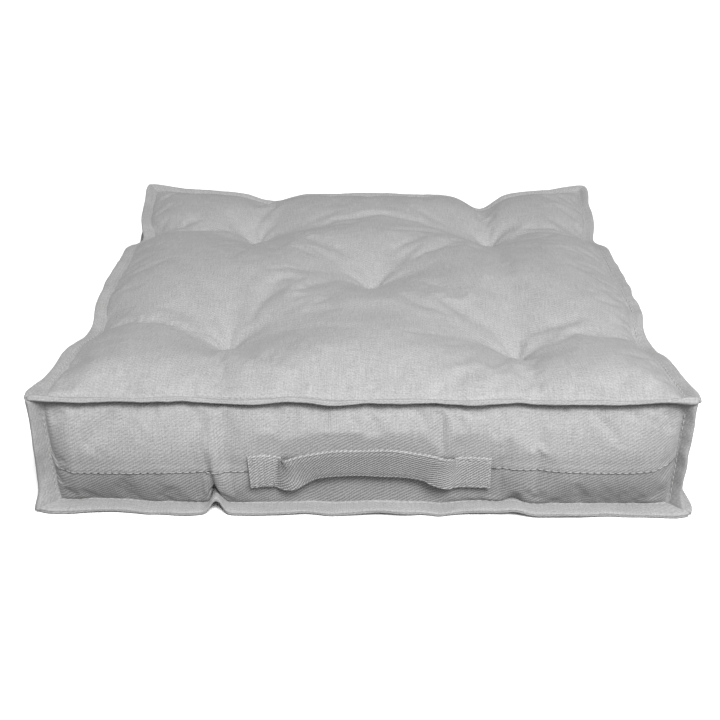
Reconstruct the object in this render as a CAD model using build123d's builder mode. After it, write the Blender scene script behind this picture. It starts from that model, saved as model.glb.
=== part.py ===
from build123d import *

import os

DIAGONAL = 2**0.5

# Driving dimensions, in millimetres. The handle side faces -Y, and the cushion stands on Z = 0.
TOP_SIDE = 608.0  # across the pinched top edges
BOTTOM_SIDE = 618.0  # across the pinched bottom edges, which splay on the floor
ROOT_SIDE = 580.0  # across the feet of the pinched edges, where the topstitching runs
SIDE_BULGE = 7.0  # how far each side swells past the feet of its edges
TOP_EDGE = 114.0  # height of the pinched top edge
CROWN = 134.0  # height of the crowned top between tufts
SEAM = 45.0  # height of the seam between the upper and the lower side bands
CLOTH = 2.0  # cover cloth with its lining
FILL_GAP = 0.3  # between the cloth and the filling

EDGE_THICK = 2 * CLOTH  # a pinched edge is two thicknesses of cloth
CORNER_SIDE = 606.0  # across the pinched upright corners

TUFTS = {  # each tuft is set by hand, a little off the quarter points
    "centre": (9.0, 0.0),
    "front_left": (-140.0, -160.0),
    "front_right": (156.0, -180.0),
    "back_left": (-140.0, 149.0),
    "back_right": (157.0, 144.0),
}
TUFT_TOP = 95.0  # height of the bottom of a tuft's hollow
TUFT_BOTTOM = 12.0  # how far a tuft draws the bottom panel up
HOLLOW_RADIUS = 95.0  # ball that fits a hollow in the top
UNDER_HOLLOW_RADIUS = 72.0  # ball that fits a hollow in the bottom
TWINE_RADIUS = 1.2
TWINE_HOLE_RADIUS = 1.5
TUFT_BAR = (11.0, 2.6, 2.2)  # thread bar that shows at the bottom of a hollow
KNOT_RADIUS = 4.0
KNOT_HEIGHT = 3.0

THREAD_WIDE = 1.2
THREAD_PROUD = 0.8
TOP_STITCH_SIDE = 588.0  # square that the top edge's stitching runs along
BOTTOM_STITCH_SIDE = 600.0
STITCH_END = 16.0  # the stitching of an edge stops this far short of the corner
CORNER_STITCH_OUT = 5.0  # from the side faces' meeting line to the corner's stitching

HANDLE_CENTRE = 7.0  # the strap sits a little to the right of the middle
HANDLE_LENGTH = 226.0
STRAP_WIDE = 36.0
STRAP_THICK = 3.2
SEWN_LENGTH = 30.0  # each end is sewn down over this length
SEWN_HEIGHT = 43.0  # height of the middle of a sewn end
BEND_LENGTH = 30.0  # from the sewn end to the free grip
BEND_START = 2.0  # the bend starts this far inside the sewn end
STRAP_ROUND = STRAP_THICK / 3  # the strap's folded edges
STRAP_LIFT = 0.1  # the bend starts this far off the fullest part of the side
GRIP_OUT = 12.0  # from the side to the middle of the grip
GRIP_HEIGHT = 56.0
GRIP_TILT = 14.5  # the grip's top edge leans outwards
GRIP_CLEARANCE = 0.3
BOX_STITCH_INSET = 4.0
SEAM_GAP_AT_HANDLE = SEWN_LENGTH + BEND_LENGTH / 2 + 1.0

HALF_ROOT = ROOT_SIDE / 2
SIDE_FACE = HALF_ROOT + SIDE_BULGE
CORE_HALF = HALF_ROOT - 28.0  # the tufts' hollows lie inside this half side
SIDE_CUT = 60.0  # depth of a tool that cuts a piece out of a layer on one side
SPLIT_REACH = 340.0  # beyond every piece
MID_HEIGHT = 60.0
SIDES = {"front": 0, "right": 90, "back": 180, "left": 270}


def save(piece, name):
    piece.part.label = name
    export_step(piece.part, f"parts/{name}.step")


def crowned_block(inset):
    """Plain block with swelling sides and a crowned top, drawn in by inset from the cover's outside."""
    half = HALF_ROOT - inset
    with BuildPart() as block:
        for view, mode in ((Plane.XZ, Mode.ADD), (Plane.YZ, Mode.INTERSECT)):
            with BuildSketch(view):
                with BuildLine():
                    Line((-half, inset), (half, inset))
                    ThreePointArc((half, inset), (SIDE_FACE - inset, TOP_EDGE / 2), (half, TOP_EDGE - inset))
                    ThreePointArc((half, TOP_EDGE - inset), (0, CROWN - inset), (-half, TOP_EDGE - inset))
                    ThreePointArc((-half, TOP_EDGE - inset), (inset - SIDE_FACE, TOP_EDGE / 2), (-half, inset))
                make_face()
            extrude(amount=SPLIT_REACH, both=True, mode=mode)
    return block.part


def press_tufts(inset):
    """Takes the hollow of each tuft out of the part being built, top and bottom."""
    with Locations(*[(x, y, TUFT_TOP + HOLLOW_RADIUS) for x, y in TUFTS.values()]):
        Sphere(HOLLOW_RADIUS + inset, mode=Mode.SUBTRACT)
    with Locations(*[(x, y, TUFT_BOTTOM - UNDER_HOLLOW_RADIUS) for x, y in TUFTS.values()]):
        Sphere(UNDER_HOLLOW_RADIUS + inset, mode=Mode.SUBTRACT)


def pierce_tufts():
    """Drills the twine's hole through the part being built at each tuft."""
    with Locations(*[(x, y, MID_HEIGHT) for x, y in TUFTS.values()]):
        Cylinder(TWINE_HOLE_RADIUS, 2 * MID_HEIGHT, mode=Mode.SUBTRACT)


def stuffed_space(inset):
    """Space inside the cover, drawn in by inset from its outside, hollows included."""
    with BuildPart() as space:
        add(crowned_block(inset))
        press_tufts(inset)
    return space.part


def whole_cover():
    """Closed skin of cloth with its pinched edges all round, before it is cut along its seams."""
    with BuildPart() as cover:
        add(crowned_block(0))
        with Locations((0, 0, TOP_EDGE)):
            Box(TOP_SIDE, TOP_SIDE, EDGE_THICK)
        with Locations((0, 0, CLOTH)):
            Box(BOTTOM_SIDE, BOTTOM_SIDE, EDGE_THICK)
        fin = (CORNER_SIDE / 2 - CORE_HALF) * DIAGONAL
        with PolarLocations(CORNER_SIDE / 2 * DIAGONAL - fin / 2, 4, start_angle=45):
            with Locations((0, 0, TOP_EDGE / 2)):
                Box(fin, EDGE_THICK, TOP_EDGE)
        press_tufts(0)
        add(stuffed_space(CLOTH), mode=Mode.SUBTRACT)
        pierce_tufts()
    return cover.part


def panel(name, cover, edge_low, edge_high, core_low, core_high):
    """Square panel: the skin between two levels at its edge, and between two wider ones inside the hollows."""
    with BuildPart() as square:
        with BuildSketch(Plane.XY.offset(edge_low)):
            Rectangle(2 * SPLIT_REACH, 2 * SPLIT_REACH)
        extrude(amount=edge_high - edge_low)
        with BuildSketch(Plane.XY.offset(core_low)):
            Rectangle(2 * CORE_HALF, 2 * CORE_HALF)
        extrude(amount=core_high - core_low)
        add(cover, mode=Mode.INTERSECT)
    save(square, name)


def band(name, cover, turn, low, high):
    """One side's strip of the skin between two levels, mitred down the middle of both pinched corners."""
    with BuildPart() as strip:
        with BuildSketch(Plane.XY.offset(low).rotated((0, 0, turn))):
            with BuildLine():
                Polyline(
                    (-CORE_HALF, -CORE_HALF),
                    (CORE_HALF, -CORE_HALF),
                    (SPLIT_REACH, -SPLIT_REACH),
                    (-SPLIT_REACH, -SPLIT_REACH),
                    close=True,
                )
            make_face()
        extrude(amount=high - low)
        add(cover, mode=Mode.INTERSECT)
    save(strip, name)


def filling():
    """Fibre block that fills the cover, with a hole for each tuft's twine."""
    with BuildPart() as fibre:
        add(stuffed_space(CLOTH + FILL_GAP))
        pierce_tufts()
    save(fibre, "fibre_filling")


def tuft(name, x, y):
    """Twine through the thickness, the thread bar above it and the knot below it."""
    bar_foot = TUFT_TOP + FILL_GAP
    knot_top = TUFT_BOTTOM - FILL_GAP
    with BuildPart() as twine:
        with BuildSketch(Plane.XY.offset(knot_top)):
            with Locations((x, y)):
                Circle(TWINE_RADIUS)
        extrude(amount=bar_foot - knot_top)
    save(twine, f"tuft_twine_{name}")
    length, width, height = TUFT_BAR
    with BuildPart() as bar:
        with BuildSketch(Plane.XY.offset(bar_foot)):
            with Locations((x, y)):
                SlotOverall(length, width)
        extrude(amount=height)
        fillet(bar.faces().sort_by(Axis.Z)[-1].edges(), radius=height / 3)
    save(bar, f"tuft_stitch_{name}")
    with BuildPart() as knot:
        with BuildSketch(Plane.XY.offset(knot_top)):
            with Locations((x, y)):
                Circle(KNOT_RADIUS)
        extrude(amount=-KNOT_HEIGHT)
        fillet(knot.faces().sort_by(Axis.Z)[0].edges(), radius=KNOT_HEIGHT / 3)
    save(knot, f"tuft_knot_{name}")


def edge_stitching(name, turn, side, foot):
    """Thread along one side of a pinched edge, lying on its upper face."""
    with BuildPart() as thread:
        with BuildSketch(Plane.XY.offset(foot).rotated((0, 0, turn))):
            with Locations((0, -side / 2)):
                Rectangle(side - 2 * STITCH_END, THREAD_WIDE)
        extrude(amount=THREAD_PROUD)
    save(thread, name)


def corner_stitching(name, turn):
    """Upright thread on the right-hand face of the pinched corner at the left end of a side."""
    out = SIDE_FACE * DIAGONAL + CORNER_STITCH_OUT
    foot = EDGE_THICK + THREAD_PROUD
    with BuildPart() as thread:
        with BuildSketch(Plane.XY.offset(foot).rotated((0, 0, turn - 135))):
            with Locations((out, (EDGE_THICK + THREAD_PROUD) / 2)):
                Rectangle(THREAD_WIDE, THREAD_PROUD)
        extrude(amount=TOP_EDGE - EDGE_THICK - foot)
    save(thread, name)


def skin_layer(low, high):
    """Layer that lies on the cover's sides, from low to high above the cloth."""
    with BuildPart() as layer:
        add(crowned_block(-high))
        add(crowned_block(-low), mode=Mode.SUBTRACT)
    return layer.part


def seam_stitching(name, turn, layer, under_handle):
    """Thread just above the level seam of one side. It is left out where the handle's ends are sewn over it."""
    with BuildPart() as thread:
        with BuildSketch(Plane.XY.offset(SEAM).rotated((0, 0, turn))):
            with Locations((0, -HALF_ROOT)):
                Rectangle(ROOT_SIDE - 2 * STITCH_END, SIDE_CUT)
        extrude(amount=THREAD_WIDE)
        add(layer, mode=Mode.INTERSECT)
        if under_handle:
            from_centre = (HANDLE_LENGTH - SEAM_GAP_AT_HANDLE) / 2
            with Locations(*[(HANDLE_CENTRE + side * from_centre, -HALF_ROOT, SEAM) for side in (-1, 1)]):
                Box(SEAM_GAP_AT_HANDLE, SIDE_CUT, STRAP_WIDE, mode=Mode.SUBTRACT)
    save(thread, name)


def handle_end(name, side, layer):
    """Sewn end of the strap, on the cover over the seam, with the bend that leads out to the grip."""
    outer = HANDLE_CENTRE + side * HANDLE_LENGTH / 2
    inner = outer - side * SEWN_LENGTH
    grip_end = inner - side * BEND_LENGTH
    sewn_skin = -SIDE_FACE - STRAP_THICK / 2 - STRAP_LIFT
    sewn_section = (inner + side * BEND_START, sewn_skin, SEWN_HEIGHT, 0.0)
    grip_section = (grip_end, -SIDE_FACE - GRIP_OUT, GRIP_HEIGHT, GRIP_TILT)
    with BuildPart() as end:
        add(layer)
        with Locations(((outer + inner) / 2, -HALF_ROOT, SEWN_HEIGHT)):
            Box(SEWN_LENGTH, SIDE_CUT, STRAP_WIDE, mode=Mode.INTERSECT)
        for x, y, z, tilt in (sewn_section, grip_section):
            with BuildSketch(Plane(origin=(x, y, z), x_dir=(0, 1, 0), z_dir=(1, 0, 0))):
                RectangleRounded(STRAP_THICK, STRAP_WIDE, STRAP_ROUND, rotation=tilt)
        loft(ruled=True)
    save(end, name)


def handle_grip():
    """Free middle of the strap, which stands off the side and swings about the line of its sewn ends."""
    length = HANDLE_LENGTH - 2 * (SEWN_LENGTH + BEND_LENGTH) - 2 * GRIP_CLEARANCE
    start = (HANDLE_CENTRE - length / 2, -SIDE_FACE - GRIP_OUT, GRIP_HEIGHT)
    with BuildPart() as grip:
        with BuildSketch(Plane(origin=start, x_dir=(0, 1, 0), z_dir=(1, 0, 0))):
            RectangleRounded(STRAP_THICK, STRAP_WIDE, STRAP_ROUND, rotation=GRIP_TILT)
        extrude(amount=length)
    save(grip, "handle_grip")


def box_stitching(name, side, layer):
    """Square of thread that holds one sewn end of the strap down."""
    middle = HANDLE_CENTRE + side * (HANDLE_LENGTH - SEWN_LENGTH) / 2
    long, high = SEWN_LENGTH - 2 * BOX_STITCH_INSET, STRAP_WIDE - 2 * BOX_STITCH_INSET
    with BuildPart() as thread:
        add(layer)
        with Locations((middle, -HALF_ROOT, SEWN_HEIGHT)):
            Box(long, SIDE_CUT, high, mode=Mode.INTERSECT)
            Box(long - 2 * THREAD_WIDE, SIDE_CUT, high - 2 * THREAD_WIDE, mode=Mode.SUBTRACT)
    save(thread, name)


def main():
    os.makedirs("parts", exist_ok=True)
    cover = whole_cover()
    panel("top_panel", cover, TOP_EDGE, CROWN + EDGE_THICK, MID_HEIGHT, CROWN + EDGE_THICK)
    panel("bottom_panel", cover, 0, CLOTH, 0, MID_HEIGHT)
    thread_on_side = skin_layer(0, THREAD_PROUD)
    for side, turn in SIDES.items():
        band(f"{side}_upper_band", cover, turn, SEAM, TOP_EDGE)
        band(f"{side}_lower_band", cover, turn, CLOTH, SEAM)
        edge_stitching(f"{side}_top_stitching", turn, TOP_STITCH_SIDE, TOP_EDGE + CLOTH)
        edge_stitching(f"{side}_bottom_stitching", turn, BOTTOM_STITCH_SIDE, EDGE_THICK)
        seam_stitching(f"{side}_seam_stitching", turn, thread_on_side, side == "front")
        corner_stitching(f"{side}_corner_stitching", turn)
    filling()
    for name, (x, y) in TUFTS.items():
        tuft(name, x, y)
    strap_on_side = skin_layer(0, STRAP_THICK)
    thread_on_strap = skin_layer(STRAP_THICK, STRAP_THICK + THREAD_PROUD)
    for name, side in (("left", -1), ("right", 1)):
        handle_end(f"handle_{name}_end", side, strap_on_side)
        box_stitching(f"handle_{name}_stitching", side, thread_on_strap)
    handle_grip()


main()
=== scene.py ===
"""Tufted square floor cushion with pinched seams and a carry handle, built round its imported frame.

The shape is worked out in millimetres and each mesh is made in metres, in the frame's own axes: the handle
side faces -Y, and the cushion stands on Z = 0.
"""

import functools
import math

import bmesh
import bpy
import numpy as np
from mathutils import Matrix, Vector


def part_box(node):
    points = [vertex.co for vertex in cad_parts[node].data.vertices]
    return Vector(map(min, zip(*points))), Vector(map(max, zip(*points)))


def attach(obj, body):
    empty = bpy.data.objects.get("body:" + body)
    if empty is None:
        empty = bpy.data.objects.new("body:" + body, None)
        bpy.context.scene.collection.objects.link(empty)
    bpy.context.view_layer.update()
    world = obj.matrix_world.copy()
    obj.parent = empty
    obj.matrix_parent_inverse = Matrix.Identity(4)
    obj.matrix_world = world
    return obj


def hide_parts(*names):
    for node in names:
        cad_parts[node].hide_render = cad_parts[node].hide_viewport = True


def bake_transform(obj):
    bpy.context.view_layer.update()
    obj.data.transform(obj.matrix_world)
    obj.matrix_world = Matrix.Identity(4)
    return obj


bl_info = {
    "name": "Tufted Floor Cushion",
    "version": (1, 0, 0),
    "blender": (4, 5, 0),
    "location": "View3D > Sidebar > Cushion",
    "description": "Builds a tufted floor cushion with pinched seams and a carry handle",
    "category": "Object",
}

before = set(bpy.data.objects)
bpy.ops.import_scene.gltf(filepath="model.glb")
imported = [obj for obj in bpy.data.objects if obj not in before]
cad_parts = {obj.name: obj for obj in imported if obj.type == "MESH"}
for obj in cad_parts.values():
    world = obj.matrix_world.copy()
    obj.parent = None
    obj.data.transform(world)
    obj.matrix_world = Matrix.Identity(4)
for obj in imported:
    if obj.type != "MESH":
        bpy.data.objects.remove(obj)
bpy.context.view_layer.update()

MM = 0.001
SIDES = {"front": 0, "right": 90, "back": 180, "left": 270}  # turn of each side about +Z, in degrees
TUFT_NAMES = ("centre", "front_left", "front_right", "back_left", "back_right")


def frame_box(node):
    """Lowest and highest corner of a node of the frame, in millimetres."""
    return tuple(np.array(corner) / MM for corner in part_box(node))


def frame_tufts():
    """Where each tuft's thread bar sits: the middle of its box in plan, and its foot."""
    corners = [frame_box(f"tuft_stitch_{name}") for name in TUFT_NAMES]
    return np.array([[(low[0] + high[0]) / 2, (low[1] + high[1]) / 2, low[2]] for low, high in corners])


TUFTS = frame_tufts()
TOP_TIP = frame_box("top_panel")[1][0]  # half width across the pinched top edges
BOTTOM_TIP = frame_box("bottom_panel")[1][0]
EDGE_HEIGHT = frame_box("front_upper_band")[1][2]
SEAM_HEIGHT = frame_box("front_upper_band")[0][2]
CROWN_HEIGHT = frame_box("top_panel")[1][2]

# Where a valley runs out over an edge: place along the side from its middle, half length, pull in, dip.
EDGE_NOTCHES = {
    "front": ((160.0, 26.0, 4.0, 4.0), (-138.0, 30.0, 3.0, 2.0)),
    "right": ((-148.0, 42.0, 5.0, 10.0), (155.0, 36.0, 8.0, 9.0)),
    "back": ((132.0, 34.0, 6.0, 10.0), (-158.0, 26.0, 10.0, 19.0)),
    "left": ((-152.0, 32.0, 12.0, 9.0), (124.0, 42.0, 7.0, 10.0)),
}
# Corners are counted from the front left, round to the right, so that each side runs from one to the next.
CORNER_LIFT = (5.0, 5.0, 14.0, 14.0)  # how far the stuffed corners stand above the edges between them


def length_property(name, description, mm):
    return bpy.props.FloatProperty(name=name, description=description, default=mm * MM, unit="LENGTH")


class CushionSizes(bpy.types.PropertyGroup):
    """Sizes that a user would change."""

    edge_thickness: length_property("Edge thickness", "Thickness of a pinched edge", 4.2)
    stitch_pitch: length_property("Stitch pitch", "From one stitch to the next", 6.5)
    rib_pitch: length_property("Twill rib", "From one twill rib to the next", 3.0)


def linear(code):
    """An sRGB hex colour as linear red, green, blue and alpha."""
    parts = np.array([(code >> shift) & 255 for shift in (16, 8, 0)]) / 255
    low, high = parts / 12.92, ((parts + 0.055) / 1.055) ** 2.4
    return (*np.where(parts <= 0.04045, low, high).tolist(), 1.0)


def colour_property(name, description, code):
    return bpy.props.FloatVectorProperty(
        name=name, description=description, default=linear(code), subtype="COLOR", size=4, min=0, max=1
    )


class CushionColours(bpy.types.PropertyGroup):
    """Colours that a user would change."""

    cloth: colour_property("Cloth", "Grey cover twill", 0xA4A4A4)
    thread: colour_property("Thread", "Sewing thread", 0xB4B4B2)
    twine: colour_property("Twine", "Tufting twine", 0x8E8E8C)
    fibre: colour_property("Filling", "Polyester fibre", 0xECECEA)
    floor: colour_property("Floor", "Studio floor", 0xEFEFEF)


# ---------------------------------------------------------------- arrays

def smooth_noise(points, wavelength, seed):
    """Even lumps with a spread of about 1: the sum of 14 plane waves in seeded directions."""
    rng = np.random.default_rng(seed)
    directions = rng.normal(size=(14, 3))
    directions /= np.linalg.norm(directions, axis=1, keepdims=True)
    waves = 2 * np.pi / wavelength * rng.uniform(0.6, 1.5, 14)
    phases = rng.uniform(0, 2 * np.pi, 14)
    return np.sin(points @ (directions * waves[:, None]).T + phases).sum(-1) / math.sqrt(7)


def noise_along(distance, wavelength, seed, across=0.0, level=0.0):
    """The same noise along a straight line; across and level set lines apart from each other."""
    place = np.stack([distance, distance * 0 + across, distance * 0 + level], -1)
    return smooth_noise(place, wavelength, seed)


def unit(vectors):
    return vectors / np.maximum(np.linalg.norm(vectors, axis=-1, keepdims=True), 1e-9)


def turned(points, degrees):
    """Points turned about +Z."""
    c, s = math.cos(math.radians(degrees)), math.sin(math.radians(degrees))
    return points @ np.array([[c, s, 0], [-s, c, 0], [0, 0, 1]])


def bell(distance, width):
    return np.exp(-((distance / width) ** 2))


def grid_quads(rows, columns, wrap=False):
    """Quads of a grid of points stored row by row; wrap joins the last column to the first."""
    r, c = np.meshgrid(np.arange(rows - 1), np.arange(columns if wrap else columns - 1), indexing="ij")
    here, right = r * columns + c, r * columns + (c + 1) % columns
    return np.stack([here, right, right + columns, here + columns], -1)


def once_round(index):
    """The outer ring of a square grid of indices, from the front left corner round to the right."""
    return np.concatenate([index[0, :-1], index[:-1, -1], index[-1, :0:-1], index[:0:-1, 0]])


def refined(grid, times=1):
    """A grid with twice the cells each way: each new point lies midway by the rule (-1, 9, 9, -1) / 16."""
    for axis in (0, 1) * times:
        lines = np.moveaxis(grid, axis, 0)
        ends = np.concatenate([2 * lines[:1] - lines[1:2], lines, 2 * lines[-1:] - lines[-2:-1]])
        finer = np.empty((2 * len(lines) - 1, *lines.shape[1:]))
        finer[::2] = lines
        finer[1::2] = (9 * (ends[1:-2] + ends[2:-1]) - ends[:-3] - ends[3:]) / 16
        grid = np.moveaxis(finer, 0, axis)
    return grid


def carried(path, out, up, profile):
    """A closed profile carried along a path: each of its points is path + a * out + b * up."""
    return path[:, None] + profile[..., 0:1] * out[:, None] + profile[..., 1:2] * up[:, None]


def closed_tube(rings):
    """Points and quads of a tube from its rings; each end is closed by drawing its ring to its middle."""
    count, around = rings.shape[:2]
    middles = rings[[0, -1]].mean(1, keepdims=True).repeat(around, 1)
    return np.concatenate([middles[:1], rings, middles[1:]]), grid_quads(count + 2, around, wrap=True)


def grid_normals(grid):
    """Unit normal at each point of a grid: the cross product of its two directions."""
    along = np.gradient(grid, axis=1)
    across = np.gradient(grid, axis=0)
    return unit(np.cross(along, across))


def run_length(points):
    """Distance along a line of points, from its first."""
    steps = np.linalg.norm(np.diff(points, axis=0), axis=1)
    return np.concatenate([[0], np.cumsum(steps)])


# ---------------------------------------------------------------- form of the cover

CELLS = 104  # along each side
UPPER_ROWS = 13  # from the top edge down to the level seam
LOWER_ROWS = 8
TOP_WIDTH = 12.5  # width of a pinched top edge, from its foot
BOTTOM_WIDTH = 20.0
CORNER_WIDTHS = (17.0, 13.5, 15.0, 16.0)  # of the upright edges, from the front left round to the right
TOP_ROOT = TOP_TIP - 9.5  # half side across the feet of the top edges, at the corners
TOP_ROOT_HEIGHT = EDGE_HEIGHT - 4.0
BOTTOM_ROOT = BOTTOM_TIP - 17.0
BOTTOM_ROOT_HEIGHT = 2.7
# How far a top edge draws in between its corners, and how far it stands above the lowest one.
MID_PULL = {"front": 8.5, "right": 6.0, "back": 8.0, "left": 9.0}
MID_LIFT = {"front": 0.0, "right": 2.0, "back": 8.0, "left": 2.0}
SIDE_SWELL = 14.0
SWELL_SINK = 0.88  # below 1, a side swells most above its middle and turns under below
SWELL_ROUND = 0.6  # below 1, a side turns out sharply from under its top edge
PILLOW_RISE = 40.0  # how high a pillow would stand, far from the valleys round it
PILLOW_REACH = 46.0  # distance from a valley in which it gains 63 percent of that
RIM_REACH = 30.0  # the same, from the top edges inwards
PLEATS = ((-138.0, 6.5, 14.5), (147.0, 12.0, 4.0), (14.0, 30.0, 3.0))  # place, half width, lift on the front
CUT_SIDE = 600.0  # side of the top and bottom panels before sewing
FILLING_INSET = 3.0  # from the cover's face to the filling
PANEL_WALL, BAND_WALL = 1.5, 1.4  # thickness of the cloth
TOP_TILT = {  # how far each top edge tips up, in degrees, at its start, middle and end
    "front": (30.0, 23.0, 32.0),
    "right": (30.0, 4.0, 30.0),
    "back": (30.0, 8.0, 30.0),
    "left": (30.0, 4.0, 28.0),
}
# How much further the pinched edges reach at each corner.
CORNER_REACH = {"top": (1.35, 1.25, 1.2, 1.2), "bottom": (1.12, 1.2, 1.0, 1.0)}
HANDLE_LEFT, HANDLE_RIGHT = -109.0, 123.0  # where the strap covers the level seam
BEND_LEFT, BEND_RIGHT = -80.0, 94.0  # where the sewn ends stop
HINGE_OUT, HINGE_HEIGHT = -301.0, 43.0
STRAP_WIDTH, STRAP_THICK = 35.0, 3.6
STRAP_BACKING = 297.0  # how far out the front may stand behind the strap
BOX_INSET = 3.4  # from the strap's edge to the stitches that hold its ends
# Along the strap: x, how far it stands off the side, height of its middle, and its lean out in degrees.
HANDLE_PLACES = (
    (-106.0, 1.9, 43.0, 0.0),
    (-97.0, 1.9, 43.5, 0.0),
    (-89.0, 1.9, 43.5, 0.0),
    (-82.0, 3.0, 42.5, 0.0),
    (-76.0, 8.0, 41.5, 4.0),
    (-68.0, 11.6, 43.0, 8.0),
    (-57.0, 12.0, 48.5, 12.0),
    (-45.7, 12.0, 52.5, 14.5),
    (-28.0, 12.0, 55.5, 14.5),
    (-8.0, 12.0, 56.5, 14.5),
    (12.0, 12.0, 56.5, 14.5),
    (36.0, 12.0, 55.5, 14.5),
    (59.7, 12.0, 51.5, 14.5),
    (72.0, 11.6, 46.5, 10.0),
    (82.0, 9.0, 43.0, 5.0),
    (88.0, 4.0, 42.5, 1.0),
    (94.0, 2.4, 43.0, 0.0),
    (106.0, 1.9, 43.0, 0.0),
    (120.0, 1.9, 43.0, 0.0),
)


SIDE_SHARE = np.linspace(-1, 1, CELLS + 1)  # places along a side, from its first corner to its last


def fading(share, stretch):
    """1 along a side, falling to 0 over the last stretch before each corner."""
    return np.clip((1 - np.abs(share)) / stretch, 0, 1)


def top_edge(side):
    """Foot of one top edge: a straight line drawn in between its corners, with a notch at each valley."""
    t, first = SIDE_SHARE, list(SIDES).index(side)
    corner = np.where(t < 0, CORNER_LIFT[first], CORNER_LIFT[(first + 1) % 4])
    middle = MID_LIFT[side]
    x = t * TOP_ROOT
    out = TOP_ROOT - MID_PULL[side] * (1 - t**4)
    height = TOP_ROOT_HEIGHT + middle + (corner - middle) * np.abs(t) ** 5
    fade = fading(t, 0.1)
    for place, width, pull, dip in EDGE_NOTCHES[side]:
        out = out - pull * bell(x - place, width) * fade
        height = height - dip * bell(x - place, width) * fade
    wave = 0.6 * noise_along(x, 90.0, 3, level=SIDES[side]) * fade
    return turned(np.stack([x, -out + wave, height + wave], -1), SIDES[side])


def bottom_edge(side):
    """Foot of one bottom edge, near the floor, lifted where the front edge is caught up in a pleat."""
    t = SIDE_SHARE
    x = t * BOTTOM_ROOT
    wave = 0.8 * noise_along(x, 110.0, 5, 50.0, SIDES[side]) * fading(t, 0.1)
    height = BOTTOM_ROOT_HEIGHT + np.abs(wave)
    bulge = 3.5 if side == "front" else -0.5
    out = BOTTOM_ROOT + bulge * (1 - t**4) + wave
    if side == "front":
        for place, width, lift in PLEATS:
            height = height + lift * bell(x - place, width)
            out = out + 0.35 * lift * bell(x - place, 1.3 * width)
    return turned(np.stack([x, -out, height], -1), SIDES[side])


def press_behind_handle(rows):
    """The front, kept flat behind the strap and clear of it between its sewn ends.

    The reach of each point is held under a limit that grows with height as the strap's lean does.
    """
    x, z = rows[..., 0], rows[..., 2]
    soft = 9.0  # over which the press begins and ends along the strap
    behind = 1 / (1 + np.exp(-(x - HANDLE_LEFT - 2) / soft)) / (1 + np.exp((x - HANDLE_RIGHT + 2) / soft))
    limit = STRAP_BACKING + 0.34 * np.clip(z - 44.0, 0.0, 15.0)
    hollows = bell(x + 47.0, 15.0) + bell(x - 61.0, 15.0)  # below the grip's ends, which swing closest
    limit = limit - 2.4 * hollows * np.clip((52.0 - z) / 8.0, 0, 1)
    reach = -rows[..., 1]
    over = np.maximum(reach - limit, 0) * behind * np.clip((112.0 - z) / 32.0, 0, 1)
    rows = rows.copy()
    rows[..., 1] = -(reach - over)
    return rows


def seam_height(side):
    """Height of the level seam along a side: nearly straight, and drawn up at the right-hand corner."""
    t = SIDE_SHARE
    wave = 0.8 * noise_along(t * BOTTOM_ROOT, 160.0, 8, level=SIDES[side])
    drawn_up = 9.0 * np.clip((t - 0.84) / 0.16, 0, 1) ** 2
    return SEAM_HEIGHT + 0.5 + 2.5 * t + wave + drawn_up


def segment_distance(points, start, end):
    """Distance in plan from each point to a straight stretch, and how far along it the nearest place is."""
    run = end - start
    share = np.clip(((points - start) @ run) / (run @ run), 0, 1)
    return np.linalg.norm(points - (start + share[..., None] * run), axis=-1), share


def valley_runs(notches):
    """Stretches of valley: start, end and height of its crest between them.

    They join the tufts in rows and columns, run out from each corner tuft to the two nearest edges, and fade
    out on three sides of the middle tuft.
    """
    centre, front_left, front_right, back_left, back_right = TUFTS
    runs = [
        (front_left, front_right, CROWN_HEIGHT - 4.0),
        (back_left, back_right, CROWN_HEIGHT - 5.0),
        (front_left, back_left, CROWN_HEIGHT - 6.0),
        (front_right, back_right, CROWN_HEIGHT - 6.0),
    ]
    for tuft, ends in (
        (front_left, (notches["front"][1], notches["left"][1])),
        (front_right, (notches["front"][0], notches["right"][0])),
        (back_left, (notches["back"][0], notches["left"][0])),
        (back_right, (notches["back"][1], notches["right"][1])),
    ):
        runs += [(tuft, end, CROWN_HEIGHT - 12.0) for end in ends]
    for x, y in ((-125.0, 10.0), (120.0, 14.0), (-4.0, 120.0)):
        end = np.array([centre[0] + x, centre[1] + y, CROWN_HEIGHT])
        runs.append((centre, end, CROWN_HEIGHT - 3.0))
    return runs


def panel_grid(edges):
    """Grid of plan points inside four edges: the sum of both straight blends less the corner blend."""
    front, right, back, left = edges["front"], edges["right"], edges["back"][::-1], edges["left"][::-1]
    u = np.linspace(0, 1, CELLS + 1)[None, :, None]
    v = np.linspace(0, 1, CELLS + 1)[:, None, None]
    sides = (1 - v) * front[None] + v * back[None] + (1 - u) * left[:, None] + u * right[:, None]
    corners = (1 - v) * ((1 - u) * front[0] + u * front[-1]) + v * ((1 - u) * back[0] + u * back[-1])
    return sides - corners


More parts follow.
